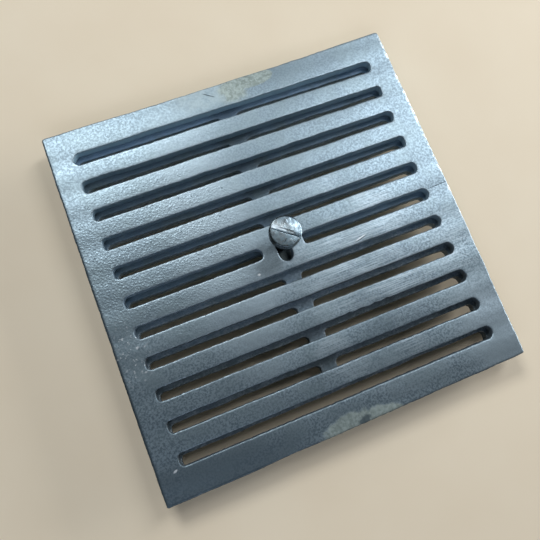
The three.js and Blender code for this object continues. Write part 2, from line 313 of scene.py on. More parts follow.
class Shell:
    """Collects points and faces, with two values per point: ground, and how far over the arris it is."""

    def __init__(self):
        self.points, self.faces, self.ground, self.arris, self.count = [], [], [], [], 0

    def add(self, points, faces, ground, arris=0.0):
        self.points.append(points)
        self.faces += faces.tolist()
        self.ground.append(np.broadcast_to(ground, len(points)))
        self.arris.append(np.broadcast_to(arris, len(points)))
        self.count += len(points)

    def piece(self, name):
        values = {"ground": np.concatenate(self.ground), "arris": np.concatenate(self.arris)}
        return mesh_piece(name, np.concatenate(self.points), self.faces, values)


def carry_into(shell, path, profile, inward, top, relief, rough, seed):
    """Adds a carried profile: relief lifts its front rows, and the wall is roughened along its normal."""
    grid = carry(path, profile, inward, 0.0 if inward else BELT_LEAN)
    rows, columns = grid.shape[:2]
    flat = grid.reshape(-1, 3)
    depth = top - flat[:, 2]
    on_front = np.clip(1 - depth / RELIEF_DEPTH, 0, 1)
    flat[:, 2] += relief(flat[:, 0], flat[:, 1]) * on_front
    normal = np.tile(right_normals(path), (rows, 1))
    wall = np.clip((depth - WALL_START) / RELIEF_DEPTH, 0, 1)
    x, y, z = flat.T
    bumps = random_waves(x + z * WALL_MIX_X, y + z * WALL_MIX_Y, seed, *WALL_WAVES)
    flat[:, :2] += normal * (bumps * wall * rough)[:, None]
    if inward:
        flat[:, :2] = np.clip(flat[:, :2], path.min(axis=0), path.max(axis=0))
    arris = np.clip(1 - np.abs(depth - ARRIS_DEPTH) / ARRIS_REACH, 0, 1)
    shell.add(flat, grid_quads(rows, columns, shell.count), on_front, arris)
    return flat[:columns], flat[-columns:]


def no_relief(x, y):
    return np.zeros(len(x))


def slotted_plate(name, outline, holes, top, bottom, relief, edges, spacing, rough, seed, bosses=()):
    """A closed plate: every outline gets the edge profile, and a front and a back land join them."""
    shell = Shell()
    rim_edges, hole_edges, levels = edges
    front_loops, back_loops = [], []
    for number, path in enumerate([outline] + holes):
        top_edge, bottom_edge = rim_edges if number == 0 else hole_edges
        profile = edge_profile(top, bottom, top_edge, bottom_edge, levels)
        first, last = carry_into(shell, path, profile, number == 0, top, relief, rough, seed + number)
        front_loops.append(first[:, :2])
        back_loops.append(last[:, :2])
    for path, profile in bosses:
        first, _ = carry_into(shell, path, profile, False, bottom, no_relief, 0.0, seed)
        back_loops.append(first[:, :2])
    lands = ((front_loops, top, relief, 1.0), (back_loops, bottom, no_relief, 0.0))
    for side, (loops, height, lift, ground) in enumerate(lands):
        points, faces = land(loops, spacing[side], seed + side)
        points = np.column_stack([points, height + lift(*points.T)])
        shell.add(points, faces + shell.count, ground)
    return shell.piece(name)


# %% [markdown]
# ## Front plate
#
# The face was linished: held against a belt that took the high spots off and left the grain of
# the sand in the low ones. Its outline isn't a true square. The corners sit up to a millimetre
# out, and the top side is hollow where it cooled last. The gate, where iron ran into the mould,
# was ground off in the middle of the top and bottom margins.

# %% Outline of the front plate
# Each corner's shift in x and y, and how far each side bows outwards at its middle
CORNER_SHIFTS = {(-1, -1): (0, -0.8), (1, -1): (-1, 1), (1, 1): (0, 0.8), (-1, 1): (0.2, -0.8)}
BOWS = {"top": -1.2, "bottom": 0.2, "left": 0.4, "right": 0.7}
PLATE_CORNER_RADII = (0.9, 0.9, 1.5, 2.0)
SIDE_POWER = 60  # |x| to this power is 1 on the side and 0 soon beside it, with x = 1 at the side


def cast_square(path):
    """Moves a true square's outline to the cast one: bilinear corner shifts, then a parabola per side."""
    x, y = path.T / HALF_PLATE
    moved = path.copy()
    for (side_x, side_y), shift in CORNER_SHIFTS.items():
        weight = (1 + side_x * x) * (1 + side_y * y) / 4
        moved += weight[:, None] * np.array(shift)
    hollow_x, hollow_y = np.clip(1 - y * y, 0, 1), np.clip(1 - x * x, 0, 1)
    on_side_x, on_side_y = np.abs(x) ** SIDE_POWER, np.abs(y) ** SIDE_POWER
    moved[:, 0] += np.where(x > 0, BOWS["right"], -BOWS["left"]) * hollow_x * on_side_x
    moved[:, 1] += np.where(y > 0, BOWS["top"], -BOWS["bottom"]) * hollow_y * on_side_y
    return moved


RIM_STEP = 1.4
rim = rounded_box((-HALF_PLATE,) * 2, (HALF_PLATE,) * 2, PLATE_CORNER_RADII, RIM_STEP)
rim = cast_square(rim)
rim = np.clip(hand_rammed(rim, 11, sway=0.1, ripple=0.05), plate_low[:2], plate_high[:2])

# %% [markdown]
# The row ends differ, as cores filed by hand do. Some are nearly square with small corners, and
# the lower right ones are full half circles. The middle row is split by the land for the knob.

# %% Rows of the front plate
# Corner radii of each row's left and right end, top row first
LEFT_END_RADII = (3.2, 2.4, 3.0, 2.2, 3.0, 3.4, 3.0, 3.2, 2.8, 3.0, 2.8)
RIGHT_END_RADII = (3.4, 2.2, 3.0, 2.2, 3.2, 3.7, 3.7, 3.7, 3.7, 3.7, 3.7)
SPLIT_LEFT_RADIUS, SPLIT_RIGHT_RADIUS = 3.7, 2.4
SLOT_STEP = 1.4
UPPER_SIDE_DROP = 0.2  # the upper side of each opening stands this much low


def row_opening(left, right, y, width, left_radius, right_radius, step):
    """One lying slot: a rounded box about the row's centre line."""
    radii = (left_radius, right_radius, right_radius, left_radius)
    return rounded_box((left, y - width / 2), (right, y + width / 2), radii, step)


front_slots = []
for row, y in enumerate(ROW_HEIGHTS):
    left_radius, right_radius = LEFT_END_RADII[row], RIGHT_END_RADII[row]
    if row == (ROWS - 1) // 2:
        parts = [(-SLOT_END, -SPLIT_GAP / 2, left_radius, SPLIT_LEFT_RADIUS),
                 (SPLIT_GAP / 2, SLOT_END, SPLIT_RIGHT_RADIUS, right_radius)]
    else:
        parts = [(-SLOT_END, SLOT_END, left_radius, right_radius)]
    for left, right, a, b in parts:
        middle = y - UPPER_SIDE_DROP / 2
        front_slots.append(row_opening(left, right, middle, SLOT_WIDTH - UPPER_SIDE_DROP, a, b, SLOT_STEP))
# A hand-rammed path takes two seeds
front_slots = [hand_rammed(path, 20 + 2 * i, 0.07, 0.07) for i, path in enumerate(front_slots)]

# %% [markdown]
# A few places in the outlines are worse than the rest: the top row's left end is angular, the
# second row bellies up near its left end, and the ninth row has a torn upper edge. Each is a nudge
# that fades as a bell curve with distance.

# %% Nudges in the outlines
# Centre x and y, reach in x and y, and shift in x and y
NUDGES = [
    (-99.4, 96.6, 1.8, 1.7, 0.55, -0.75),
    (-99.5, 90.8, 1.5, 1.3, 0.3, 0.35),
    (-100.3, 93.5, 1.2, 1.1, -0.3, 0.0),
    (-88.0, 79.0, 14.0, 2.2, 0.0, 0.8),
    (30.0, 60.2, 5.0, 1.5, 0.0, 0.3),
    (-28.0, 60.2, 3.0, 1.5, 0.0, 0.25),
    (62.0, 41.4, 4.0, 1.5, 0.0, 0.25),
    (70.0, 3.9, 5.0, 1.5, 0.0, 0.3),
]
TORN_EDGE_Y, TORN_EDGE_REACH = -52.4, 1.6
NUDGES += [(x, TORN_EDGE_Y, TORN_EDGE_REACH, TORN_EDGE_REACH, 0.0, shift) for x, shift in
           ((22, 0.5), (26, -0.25), (30, 0.45), (35, -0.3), (39, 0.6), (43, -0.2), (47, 0.5), (53, -0.25))]


def nudge(path):
    """Each point moved by the sum of shift * exp(-(dx / reach_x)^2 - (dy / reach_y)^2)."""
    moved = path.copy()
    for x, y, reach_x, reach_y, shift_x, shift_y in NUDGES:
        share = np.exp(-((path[:, 0] - x) / reach_x) ** 2 - ((path[:, 1] - y) / reach_y) ** 2)
        moved += share[:, None] * np.array([shift_x, shift_y])
    return moved


front_slots = [nudge(path) for path in front_slots]

# %% Knob slot
KNOB_SLOT_HALF_WIDTH = 4.4
KNOB_SLOT_OVAL = 1.34  # height of each end's half oval over its half width
KNOB_SLOT_STEP = 0.9
KNOB_SLOT_REACH = 9.8  # from the plate's middle to either end


def knob_slot():
    """Upright slot: straight sides between two half ovals, x = a cos t, y = centre + b sin t."""
    tall = KNOB_SLOT_HALF_WIDTH * KNOB_SLOT_OVAL
    angle = np.linspace(0, math.pi, 40)
    end = np.stack([KNOB_SLOT_HALF_WIDTH * np.cos(angle), tall * np.sin(angle)], axis=1)
    end[:, 1] += KNOB_SLOT_REACH - tall
    return even_steps(np.concatenate([end, -end]), KNOB_SLOT_STEP)


front_holes = front_slots + [hand_rammed(knob_slot(), 61, sway=0.05)]

# %% Bosses on the back of the front plate
BOSS_RADIUS = 3.6
BOSS_HOLE_RADIUS = 2.3
BOSS_HOLE_END = -0.6
BOSS_ROOT_FILLET = 0.15
CORNERS = ("top_left", "top_right", "bottom_right", "bottom_left")


def clip_screw_centre(corner):
    low, high = piece_box("clip_screw_" + corner)
    return (low[:2] + high[:2]) / 2


boss_profile = [
    (BOSS_ROOT_FILLET, BACK_Z),
    (0.04, -0.04),
    (0.0, -0.3),
    (-0.08, BOSS_BACK_Z / 2),
    (-0.16, BOSS_BACK_Z + 0.5),
    (-0.3, BOSS_BACK_Z + 0.15),
    (-0.6, BOSS_BACK_Z),
    (BOSS_HOLE_RADIUS + 0.25 - BOSS_RADIUS, BOSS_BACK_Z),
    (BOSS_HOLE_RADIUS - BOSS_RADIUS, BOSS_BACK_Z + 0.25),
    (BOSS_HOLE_RADIUS - BOSS_RADIUS, BOSS_HOLE_END),
    (-BOSS_RADIUS, BOSS_HOLE_END),
]
bosses = [(circle(clip_screw_centre(corner), BOSS_RADIUS, 48), boss_profile) for corner in CORNERS]

# %% [markdown]
# The relief of the face is three sets of waves, a slow one for the belt's uneven pressure and two
# short ones for the sand, and a handful of dents that the casting took in the yard. Each dent is a
# bell curve, deepest in its middle.

# %% Relief and the front plate's mesh
# Centre x and y, radius and depth of each dent
DENTS = (
    (-110.5, 22.0, 1.2, 0.12),
    (-108.0, 14.5, 0.9, 0.1),
    (-112.0, 10.0, 1.1, 0.12),
    (-111.0, -20.0, 1.0, 0.12),
    (-97.0, -24.5, 1.3, 0.1),
    (-20.0, -12.5, 0.9, 0.1),
    (48.0, 12.5, 1.0, 0.08),
    (5.0, -113.0, 1.6, 0.3),
)
BAR_CROWN = 0.08


def face_relief(x, y):
    """Bars a little crowned, as a cosine of the row pitch, plus waves, minus a bell curve for each dent."""
    height = -BAR_CROWN * np.cos(2 * math.pi * y / ROW_PITCH)
    height += 0.05 * random_waves(x, y, 3, 25, 90, 16)
    height += 0.01 * random_waves(x, y, 5, 4, 9, 40)
    height += 0.006 * random_waves(x, y, 7, 2.3, 4, 60)
    for dent_x, dent_y, radius, depth in DENTS:
        height -= depth * np.exp(-((x - dent_x) ** 2 + (y - dent_y) ** 2) / radius ** 2)
    return height


# Inset from the wall and drop from the face along each arris
RIM_TOP_EDGE = ((1.3, 0), (0.85, 0.02), (0.5, 0.1), (0.24, 0.26), (0.07, 0.52), (0, 0.9))
SLOT_TOP_EDGE = ((0.8, 0), (0.5, 0.02), (0.31, 0.08), (0.15, 0.18), (0.045, 0.36), (0, 0.65))
BOTTOM_EDGE = ((0.4, 0), (0.2, 0.03), (0.06, 0.1), (0, 0.24))
RIM_BACK_EDGE = ((0.35, 0), (0.15, 0.05), (0.04, 0.16), (0, 0.35))
plate_edges = ((RIM_TOP_EDGE, RIM_BACK_EDGE), (SLOT_TOP_EDGE, BOTTOM_EDGE), (0.4, 0.65))
front_piece = slotted_plate(
    "front_plate_casting", rim, front_holes, FRONT_Z, BACK_Z, face_relief, plate_edges,
    spacing=(1.2, 5.0), rough=0.05, seed=100, bosses=bosses,
)
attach(front_piece, "frame")
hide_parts("front_plate")

# %% [markdown]
# ## Slider
#
# The slider was left as it came out of the sand, so its edges are rounder and its walls rougher.
# A web down the middle parts each row in two and carries the knob screw. Only the bottom row runs
# through in one, and there its upper side stands a little higher.

# %% Slider
SLIDER_SLOT_WIDTH = 7.6
SLIDER_SLOT_INSET = 1.3
SLIDER_SLOT_RADIUS = 2.8
SLIDER_WEB = 10.6
BOTTOM_ROW_RISE = 0.8
SLIDER_BOTTOM_RIM = 4.0
SLIDER_CORNER_RADIUS = 2.0
SLIDER_SCREW_HOLE_RADIUS = 3.84
SLIDER_STEP = 2.0
slider_x = (slider_low[0] + slider_high[0]) / 2
slider_drop = slider_low[1] - (ROW_HEIGHTS[-1] - SLIDER_SLOT_WIDTH / 2 - SLIDER_BOTTOM_RIM)
knob_centre = (knob_low[:2] + knob_high[:2]) / 2
print("slider stands", round(slider_drop, 2), "mm from its rows in line")

slider_rim = rounded_box(slider_low[:2], slider_high[:2], (SLIDER_CORNER_RADIUS,) * 4, SLIDER_STEP)
slider_rim = hand_rammed(slider_rim, 201, sway=0.12, ripple=0.06)
slider_rim = np.clip(slider_rim, slider_low[:2], slider_high[:2])
slider_holes = []
reach = SLOT_END - SLIDER_SLOT_INSET
for row, y in enumerate(ROW_HEIGHTS + slider_drop):
    parted = row < ROWS - 1
    rise = 0.0 if parted else BOTTOM_ROW_RISE
    ends = ((-reach, -SLIDER_WEB / 2), (SLIDER_WEB / 2, reach)) if parted else ((-reach, reach),)
    for side, (left, right) in enumerate(ends):
        path = row_opening(
            slider_x + left, slider_x + right, y + rise / 2, SLIDER_SLOT_WIDTH + rise,
            SLIDER_SLOT_RADIUS, SLIDER_SLOT_RADIUS, SLIDER_STEP,
        )
        seed = 210 + 4 * row + 2 * side
        slider_holes.append(hand_rammed(path, seed, sway=0.16, ripple=0.07))
slider_holes.append(circle(knob_centre, SLIDER_SCREW_HOLE_RADIUS, 40))


def slider_relief(x, y):
    """Lumps of unground sand casting."""
    return 0.06 * random_waves(x, y, 13, 12, 60, 16) + 0.03 * random_waves(x, y, 15, 5, 9, 40)


SLIDER_EDGE = ((0.8, 0), (0.5, 0.03), (0.28, 0.12), (0.12, 0.28), (0.03, 0.48), (0, 0.75))
slider_edges = ((SLIDER_EDGE, BOTTOM_EDGE), (SLIDER_EDGE, BOTTOM_EDGE), (0.45, 0.7))
slider_piece = slotted_plate(
    "slider_casting", slider_rim, slider_holes, slider_high[2], slider_low[2], slider_relief,
    slider_edges, spacing=(2.6, 5.0), rough=0.07, seed=300,
)
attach(slider_piece, "slider")
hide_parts("slider_plate")

# %% [markdown]
# ## Slotted screws
#
# A screw head could be a cylinder with a box cut out of it, but the cut leaves long thin faces.
# Here the top is a grid of chords that run along the driver slot. Each chord keeps one distance
# from the slot's middle, so the corners of the slot's section fall exactly on chords. The rim of
# that grid is then carried down the side, under the head and along the shank, where the thread is
# a wave that climbs once round the shank for every pitch.

# %% Slotted screw
HEAD_CHAMFER = 0.35  # between a head's side and its underside
SHANK_FILLET = 0.3
THREAD_STEPS = 8  # rings to a pitch
THREAD_FLANK = 0.38  # share of the pitch that one flank takes up
PLAIN_END = 0.5  # length without thread at the shank's end
END_CHAMFER = ((0.45, 0.4), (0.75, 0.0))  # inset from the shank and height above its end
LEAST_DROP = 0.02  # keeps a head's lumps below its measured crown


def chord_grid(radius, slot_section, chords, along):
    """Points over a disc: y is one of the chord distances, x runs along the chord, closer at its ends."""
    spread = radius * np.sin(np.linspace(-math.pi / 2, math.pi / 2, chords))
    across = np.concatenate([spread, np.array(slot_section)[:, 0]])
    across = np.unique(np.round(across, 4))
    run = np.sin(np.linspace(-math.pi / 2, math.pi / 2, along))
    x = np.sqrt(np.clip(radius ** 2 - across ** 2, 0, None))[:, None] * run[None, :]
    y = np.repeat(across[:, None], along, axis=1)
    return x, y


def head_top(x, y, head):
    """Depth below the crown: dome plus rounded rim, or the driver slot's section where that is deeper."""
    radius, rounding = head["radius"], head["rounding"]
    r = np.minimum(np.hypot(x, y), radius)
    over = np.clip(r - (radius - rounding), 0, rounding)
    depth = head["dome"] * (r / radius) ** 2 + rounding - np.sqrt(rounding ** 2 - over ** 2)
    across, cut = np.array(head["slot_section"]).T
    return np.maximum(depth, np.interp(y, across, cut))


def ring(radius, angle, depth):
    """Points round the screw's axis: radius cos a, radius sin a and the depth below the crown."""
    depth = np.broadcast_to(depth, angle.shape)
    return np.stack([radius * np.cos(angle), radius * np.sin(angle), depth], axis=1)


def slotted_screw(name, centre, crown, facing, head, shank, seed):
    """A screw about a vertical axis. facing is 1 for a head that faces up and -1 for one facing down."""
    x, y = chord_grid(head["radius"], head["slot_section"], *head["grid"])
    lumps = random_waves(x.ravel(), y.ravel(), seed, 2, 7).reshape(x.shape)
    drop = np.maximum(head_top(x, y, head) + head["lumps"] * lumps, LEAST_DROP)
    rows, columns = x.shape
    top = np.stack([x, y, drop], axis=2).reshape(-1, 3)
    index = np.arange(rows * columns).reshape(rows, columns)
    top_quads = np.stack([index[:-1, :-1], index[:-1, 1:], index[1:, 1:], index[1:, :-1]], axis=2)
    rim_x, rim_y, rim_depth = top[np.concatenate([index[:, -1], index[::-1, 0]])].T
    angle = np.arctan2(rim_y, rim_x)
    # Side of the head and its underside
    under = head["thickness"]
    side = under - HEAD_CHAMFER - rim_depth
    rings = [ring(head["radius"], angle, rim_depth + side * share) for share in (0, 0.3, 0.6, 0.9)]
    rings.append(ring(head["radius"], angle, under - HEAD_CHAMFER))
    rings.append(ring(head["radius"] - HEAD_CHAMFER, angle, under))
    rings.append(ring(shank["radius"] + SHANK_FILLET, angle, under))
    # Shank: plain, then threaded, then a chamfered end
    pitch = shank["pitch"]
    plain = np.linspace(under + SHANK_FILLET, shank["thread_from"], 6)
    threaded = np.arange(shank["thread_from"], shank["end"] - PLAIN_END, pitch / THREAD_STEPS)
    for depth in np.concatenate([plain, threaded[1:]]):
        wave = (depth / pitch - angle / (2 * math.pi)) % 1.0
        cut = pitch * 0.5 * np.clip(1 - np.abs(wave - 0.5) / THREAD_FLANK, 0, 1)
        cut *= np.clip((depth - shank["thread_from"]) / pitch, 0, 1)
        rings.append(ring(shank["radius"] - cut, angle, depth))
    for inset, rise in END_CHAMFER + ((shank["radius"], 0.0),):
        rings.append(ring(shank["radius"] - inset, angle, shank["end"] - rise))
    quads = grid_quads(len(rings), len(angle), len(top))
    points = np.concatenate([top] + rings)
    turn = math.radians(head["turn"])
    turned = np.stack([points[:, 0] * math.cos(turn) - points[:, 1] * math.sin(turn) + centre[0],
                       points[:, 0] * math.sin(turn) + points[:, 1] * math.cos(turn) + centre[1],
                       crown - facing * points[:, 2]], axis=1)
    faces = top_quads.reshape(-1, 4).tolist() + quads.tolist()
    return mesh_piece(name, turned, faces, weld=4e-6)


# %% [markdown]
# ## Knob screw
#
# The knob is an ordinary cheese-head screw with a wide head, standing well proud of the face so
# that fingers can push it. Its head was faced bright and has worn since.

# %% Knob screw
KNOB_HEAD = {
    "radius": (knob_high[0] - knob_low[0]) / 2,
    "thickness": 5.6,
    "rounding": 0.9,
    "dome": 0.5,
    "slot_section": (
        (-1.5, 0), (-1.32, 0.06), (-1.22, 0.25), (-1.17, 1.9), (-1.08, 2.15), (-0.9, 2.2),
        (-0.75, 2.1), (-0.66, 1.0), (-0.58, 0.24), (-0.5, 0.18), (0.3, 0.19), (0.9, 0.17),
        (1.1, 0.1), (1.3, 0.03), (1.5, 0),
    ),
    "lumps": 0.02,
    "grid": (57, 45),
    "turn": -38.0,
}
KNOB_SHANK = {
    "radius": 3.8,
    "thread_from": knob_high[2] - 2.0,
    "end": knob_high[2] - knob_low[2],
    "pitch": 1.25,
}
knob_piece = slotted_screw(
    "knob_cheese_head_screw", knob_centre, knob_high[2], 1, KNOB_HEAD, KNOB_SHANK, seed=401
)
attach(knob_piece, "slider")
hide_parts("knob_screw")

# %% [markdown]
# ## Clips and their screws
#
# Four small steel plates, each screwed to a boss, lap over the slider's edges and keep it against
# the front plate. They sit at the back, so they stay plain.

# %% Clips
CLIP_CORNER_RADIUS = 1.5
CLIP_HOLE_PLAY = 0.1
CLIP_STEP = 0.8
CLIP_EDGE = ((0.6, 0), (0.3, 0.04), (0.1, 0.14), (0, 0.32))
clip_edges = ((CLIP_EDGE, CLIP_EDGE), (CLIP_EDGE, CLIP_EDGE), (0.5,))


def clip_relief(x, y):
    """Rolled strip is almost flat."""
    return 0.01 * random_waves(x, y, 17, 3, 12, 16)


clip_pieces = []
for corner in CORNERS:
    low, high = piece_box("clip_" + corner)
    outline = rounded_box(low[:2], high[:2], (CLIP_CORNER_RADIUS,) * 4, CLIP_STEP)
    hole = circle(clip_screw_centre(corner), BOSS_HOLE_RADIUS + CLIP_HOLE_PLAY, 28)
    clip = slotted_plate(
        "clip_" + corner + "_plate", outline, [hole], high[2], low[2], clip_relief, clip_edges,
        spacing=(1.3, 1.3), rough=0.0, seed=500,
    )
    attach(clip, "frame")
    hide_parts("clip_" + corner)
    clip_pieces.append(clip)

# %% Clip screws
CLIP_SCREW_TURNS = {"top_left": 24, "top_right": -51, "bottom_right": 68, "bottom_left": -12}
for corner in CORNERS:
    low, high = piece_box("clip_screw_" + corner)
    head = {
        "radius": (high[0] - low[0]) / 2,
        "thickness": 2.6,
        "rounding": 1.3,
        "dome": 0.3,
        "slot_section": (
            (-0.62, 0), (-0.53, 0.1), (-0.47, 1.0), (-0.35, 1.1), (0.35, 1.1), (0.47, 1.0),
            (0.53, 0.1), (0.62, 0),
        ),
        "lumps": 0.01,
        "grid": (25, 21),
        "turn": CLIP_SCREW_TURNS[corner],
    }
    shank = {"radius": 2.0, "thread_from": 4.4, "end": high[2] - low[2], "pitch": 0.7}
    centre = clip_screw_centre(corner)
    name = "clip_screw_" + corner + "_round_head"
    screw = slotted_screw(name, centre, low[2], -1, head, shank, seed=600)
    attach(screw, "frame")
    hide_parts("clip_screw_" + corner)
    clip_pieces.append(screw)

# %% [markdown]
# ## Finishes
#
# A metal has almost no colour of its own under its surface: what we see is the light it throws
# back. So each finish here is a metallic surface whose grain is in its roughness and in its bumps,
# and whose base colour only tints the reflection. Casting skin is part oxide and so less metallic.
# Patterns are read in Object coordinates, which are metres here, so a noise scale of 1000 / size
# gives a grain of that size in millimetres. Where a patch, a band or a mark lies was measured in
# the photograph, in millimetres from the plate's middle.

# %% Colour and nodes


def linear(hex_code):
    """sRGB hex to linear light: c / 12.92 near black, else ((c + 0.055) / 1.055) to the power 2.4."""
    parts = [int(hex_code[i:i + 2], 16) / 255 for i in (1, 3, 5)]
    return tuple(c / 12.92 if c <= 0.04045 else ((c + 0.055) / 1.055) ** 2.4 for c in parts) + (1.0,)


def fill(node, inputs):
    """Gives a node its inputs: a socket is linked, a hex colour is made linear, a number is set."""
    for key, value in inputs.items():
        if isinstance(value, bpy.types.NodeSocket):
            node.id_data.links.new(value, node.inputs[key])
        else:
            node.inputs[key].default_value = linear(value) if isinstance(value, str) else value


class Finish:
    """A material while its nodes are added. place is where a point lies on its piece, in metres."""

    def __init__(self, name):
        self.material = bpy.data.materials.new(name)
        self.material.use_nodes = True
        self.tree = self.material.node_tree
        self.shader = self.tree.nodes["Principled BSDF"]
        self.place = self.put("TexCoord").outputs["Object"]
        self.axes = self.put("SeparateXYZ", {0: self.place}).outputs

    def put(self, kind, inputs=None, **settings):
        """Adds one node, with its settings first and then its inputs."""
        node = self.tree.nodes.new("ShaderNode" + kind)
        for key, value in settings.items():
            setattr(node, key, value)
        fill(node, inputs or {})
        return node

    def grain(self, size, detail=2.0, roughness=0.5, distortion=0.0, place=None):
        """Noise whose blobs are about size millimetres wide, 0 to 1."""
        inputs = {"Vector": self.place if place is None else place, "Scale": 1 / (size * MM),
                  "Detail": detail, "Roughness": roughness, "Distortion": distortion}
        return self.put("TexNoise", inputs).outputs["Fac"]

    def ramp(self, value, low, high, start=0.0, end=1.0):
        """Smooth step: start below low, end above high."""
        inputs = {"Value": value, "From Min": low, "From Max": high, "To Min": start, "To Max": end}
        return self.put("MapRange", inputs, interpolation_type="SMOOTHSTEP").outputs["Result"]

    def along(self, axis, low, high, start=0.0, end=1.0):
        """Smooth step over one coordinate, between two places in millimetres."""
        return self.ramp(self.axes[axis], low * MM, high * MM, start, end)

    def fold(self, operation, value, others):
        """The operation on a value and each other value in turn."""
        for other in others:
            value = self.put("Math", {0: value, 1: other}, operation=operation).outputs[0]
        return value

    def times(self, value, *others):
        return self.fold("MULTIPLY", value, others)

    def plus(self, value, *others):
        return self.fold("ADD", value, others)

    def most(self, value, *others):
        return self.fold("MAXIMUM", value, others)

    def tint(self, share, a, b):
        """Colour a where share is 0 and b where it is 1."""
        return self.put("Mix", {"Factor": share, 6: a, 7: b}, data_type="RGBA").outputs[2]

    def layers(self, colour, *coats):
        """Lays tones over a colour in turn, each given as its share and its tone."""
        for share, tone in coats:
            colour = self.tint(share, colour, tone)
        return colour

    def attribute(self, label):
        return self.put("Attribute", attribute_name=label).outputs["Fac"]

    def local(self, centre, half, turn, place=None):
        """Place in a turned ellipse: 0 at its centre and 1 at its edge; centre and half in mm."""
        return self.put("Mapping", {
            "Vector": self.place if place is None else place,
            "Location": (centre[0] * MM, centre[1] * MM, 0),
            "Rotation": (0, 0, math.radians(turn)),
            "Scale": (half[0] * MM, half[1] * MM, 1),
        }, vector_type="TEXTURE").outputs["Vector"]

    def patch(self, centre, half, turn=0.0, soft=0.1, ragged=0.25, wave=5.0, place=None):
        """1 inside that ellipse and 0 outside, with an edge made ragged by noise of size wave."""
        local = self.local(centre, half, turn, place)
        distance = self.put("VectorMath", {0: local}, operation="LENGTH").outputs["Value"]
        wobble = self.times(self.plus(self.grain(wave, 3, place=place), -0.5), ragged)
        return self.ramp(self.plus(distance, wobble), 1 - soft, 1 + soft, 1.0, 0.0)

    def metal(self, colour, roughness, height, bump_mm, metallic=1.0):
        """Fills the shader, with a bump whose height of 1 is bump_mm high; returns the material."""
        bump = self.put("Bump", {"Height": height, "Strength": 1.0, "Distance": bump_mm * MM})
        fill(self.shader, {"Base Color": colour, "Metallic": metallic, "Roughness": roughness,
                           "Normal": bump.outputs["Normal"]})
        return self.material


def dress(piece, material):
    """Gives a piece its one material."""
    piece.data.materials.clear()
    piece.data.materials.append(material)


# %% [markdown]
# ## Ground cast iron
#
# Cast iron is a mix of iron and graphite flakes, so it is greyer and duller than steel. The belt
# left bright tops about a millimetre wide between darker pits of sand grain. The walls of the
# slots were never ground, and the arrises between wall and face are polished by wear. The grey
# here leans to blue, as bare iron does under a cool window light.

# %% Ground cast iron
# Centre, half size, turn and raggedness: a hairline crack beside the middle row, a scratch near the
# right edge, a gouge under the middle row, a hairline at the top gate and a cut under the second row
MARKS = (
    ((107.5, 2.4), (7.6, 0.24), 3, 1.2),
    ((104.5, -45), (3.4, 0.22), -40, 0.8),
    ((47, -12.9), (3.6, 0.35), 14, 0.8),
    ((-8, 108), (4.0, 0.3), -35, 1.0),
    ((-0.3, 70.8), (1.5, 0.3), 15, 0.8),
)


